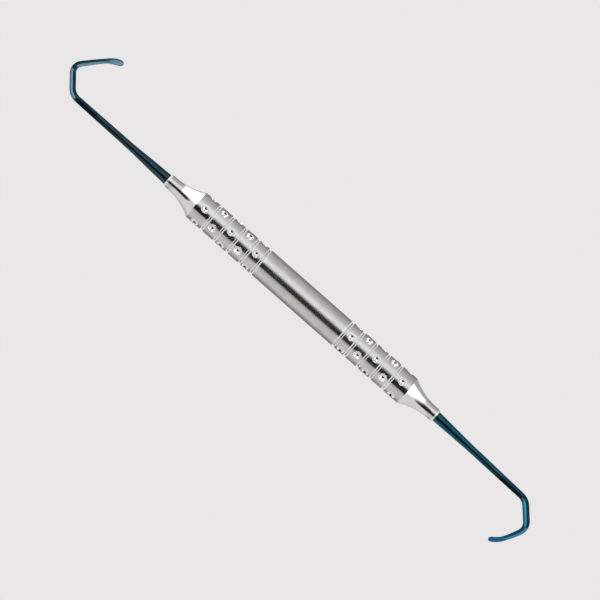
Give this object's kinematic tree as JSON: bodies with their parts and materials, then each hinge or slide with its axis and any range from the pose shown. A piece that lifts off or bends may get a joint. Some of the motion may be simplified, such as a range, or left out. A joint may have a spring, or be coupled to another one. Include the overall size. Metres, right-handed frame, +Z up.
{
  "type": "hand scaler",
  "caption": "Dental hand scaler with a grooved, dimpled round steel handle, flared noses and a slim blue-coated hooked working end at each tip.",
  "frame": {"origin": "under the middle of the handle, on the surface that the handle rests on", "axes": "+X along the handle towards the right working end, +Z up, both hooks level in the XY plane: the left hook bends to +Y and the right hook to -Y"},
  "size_m": [0.1751, 0.0317, 0.0086],
  "materials": {
    "handle_steel": "satin stainless steel, fine turned grain",
    "nose_steel": "polished stainless steel",
    "braze": "bright silver braze",
    "blue_coating": "thin glossy blue hard coating on polished stainless steel"
  },
  "bodies": {
    "root": {"handle_barrel": "handle_steel", "nose_left": "nose_steel", "nose_right": "nose_steel", "seam_ring_left": "braze", "seam_ring_right": "braze", "tang_ring_left": "braze", "tang_ring_right": "braze", "working_end_left": "blue_coating", "working_end_right": "blue_coating"}
  },
  "joints": []
}
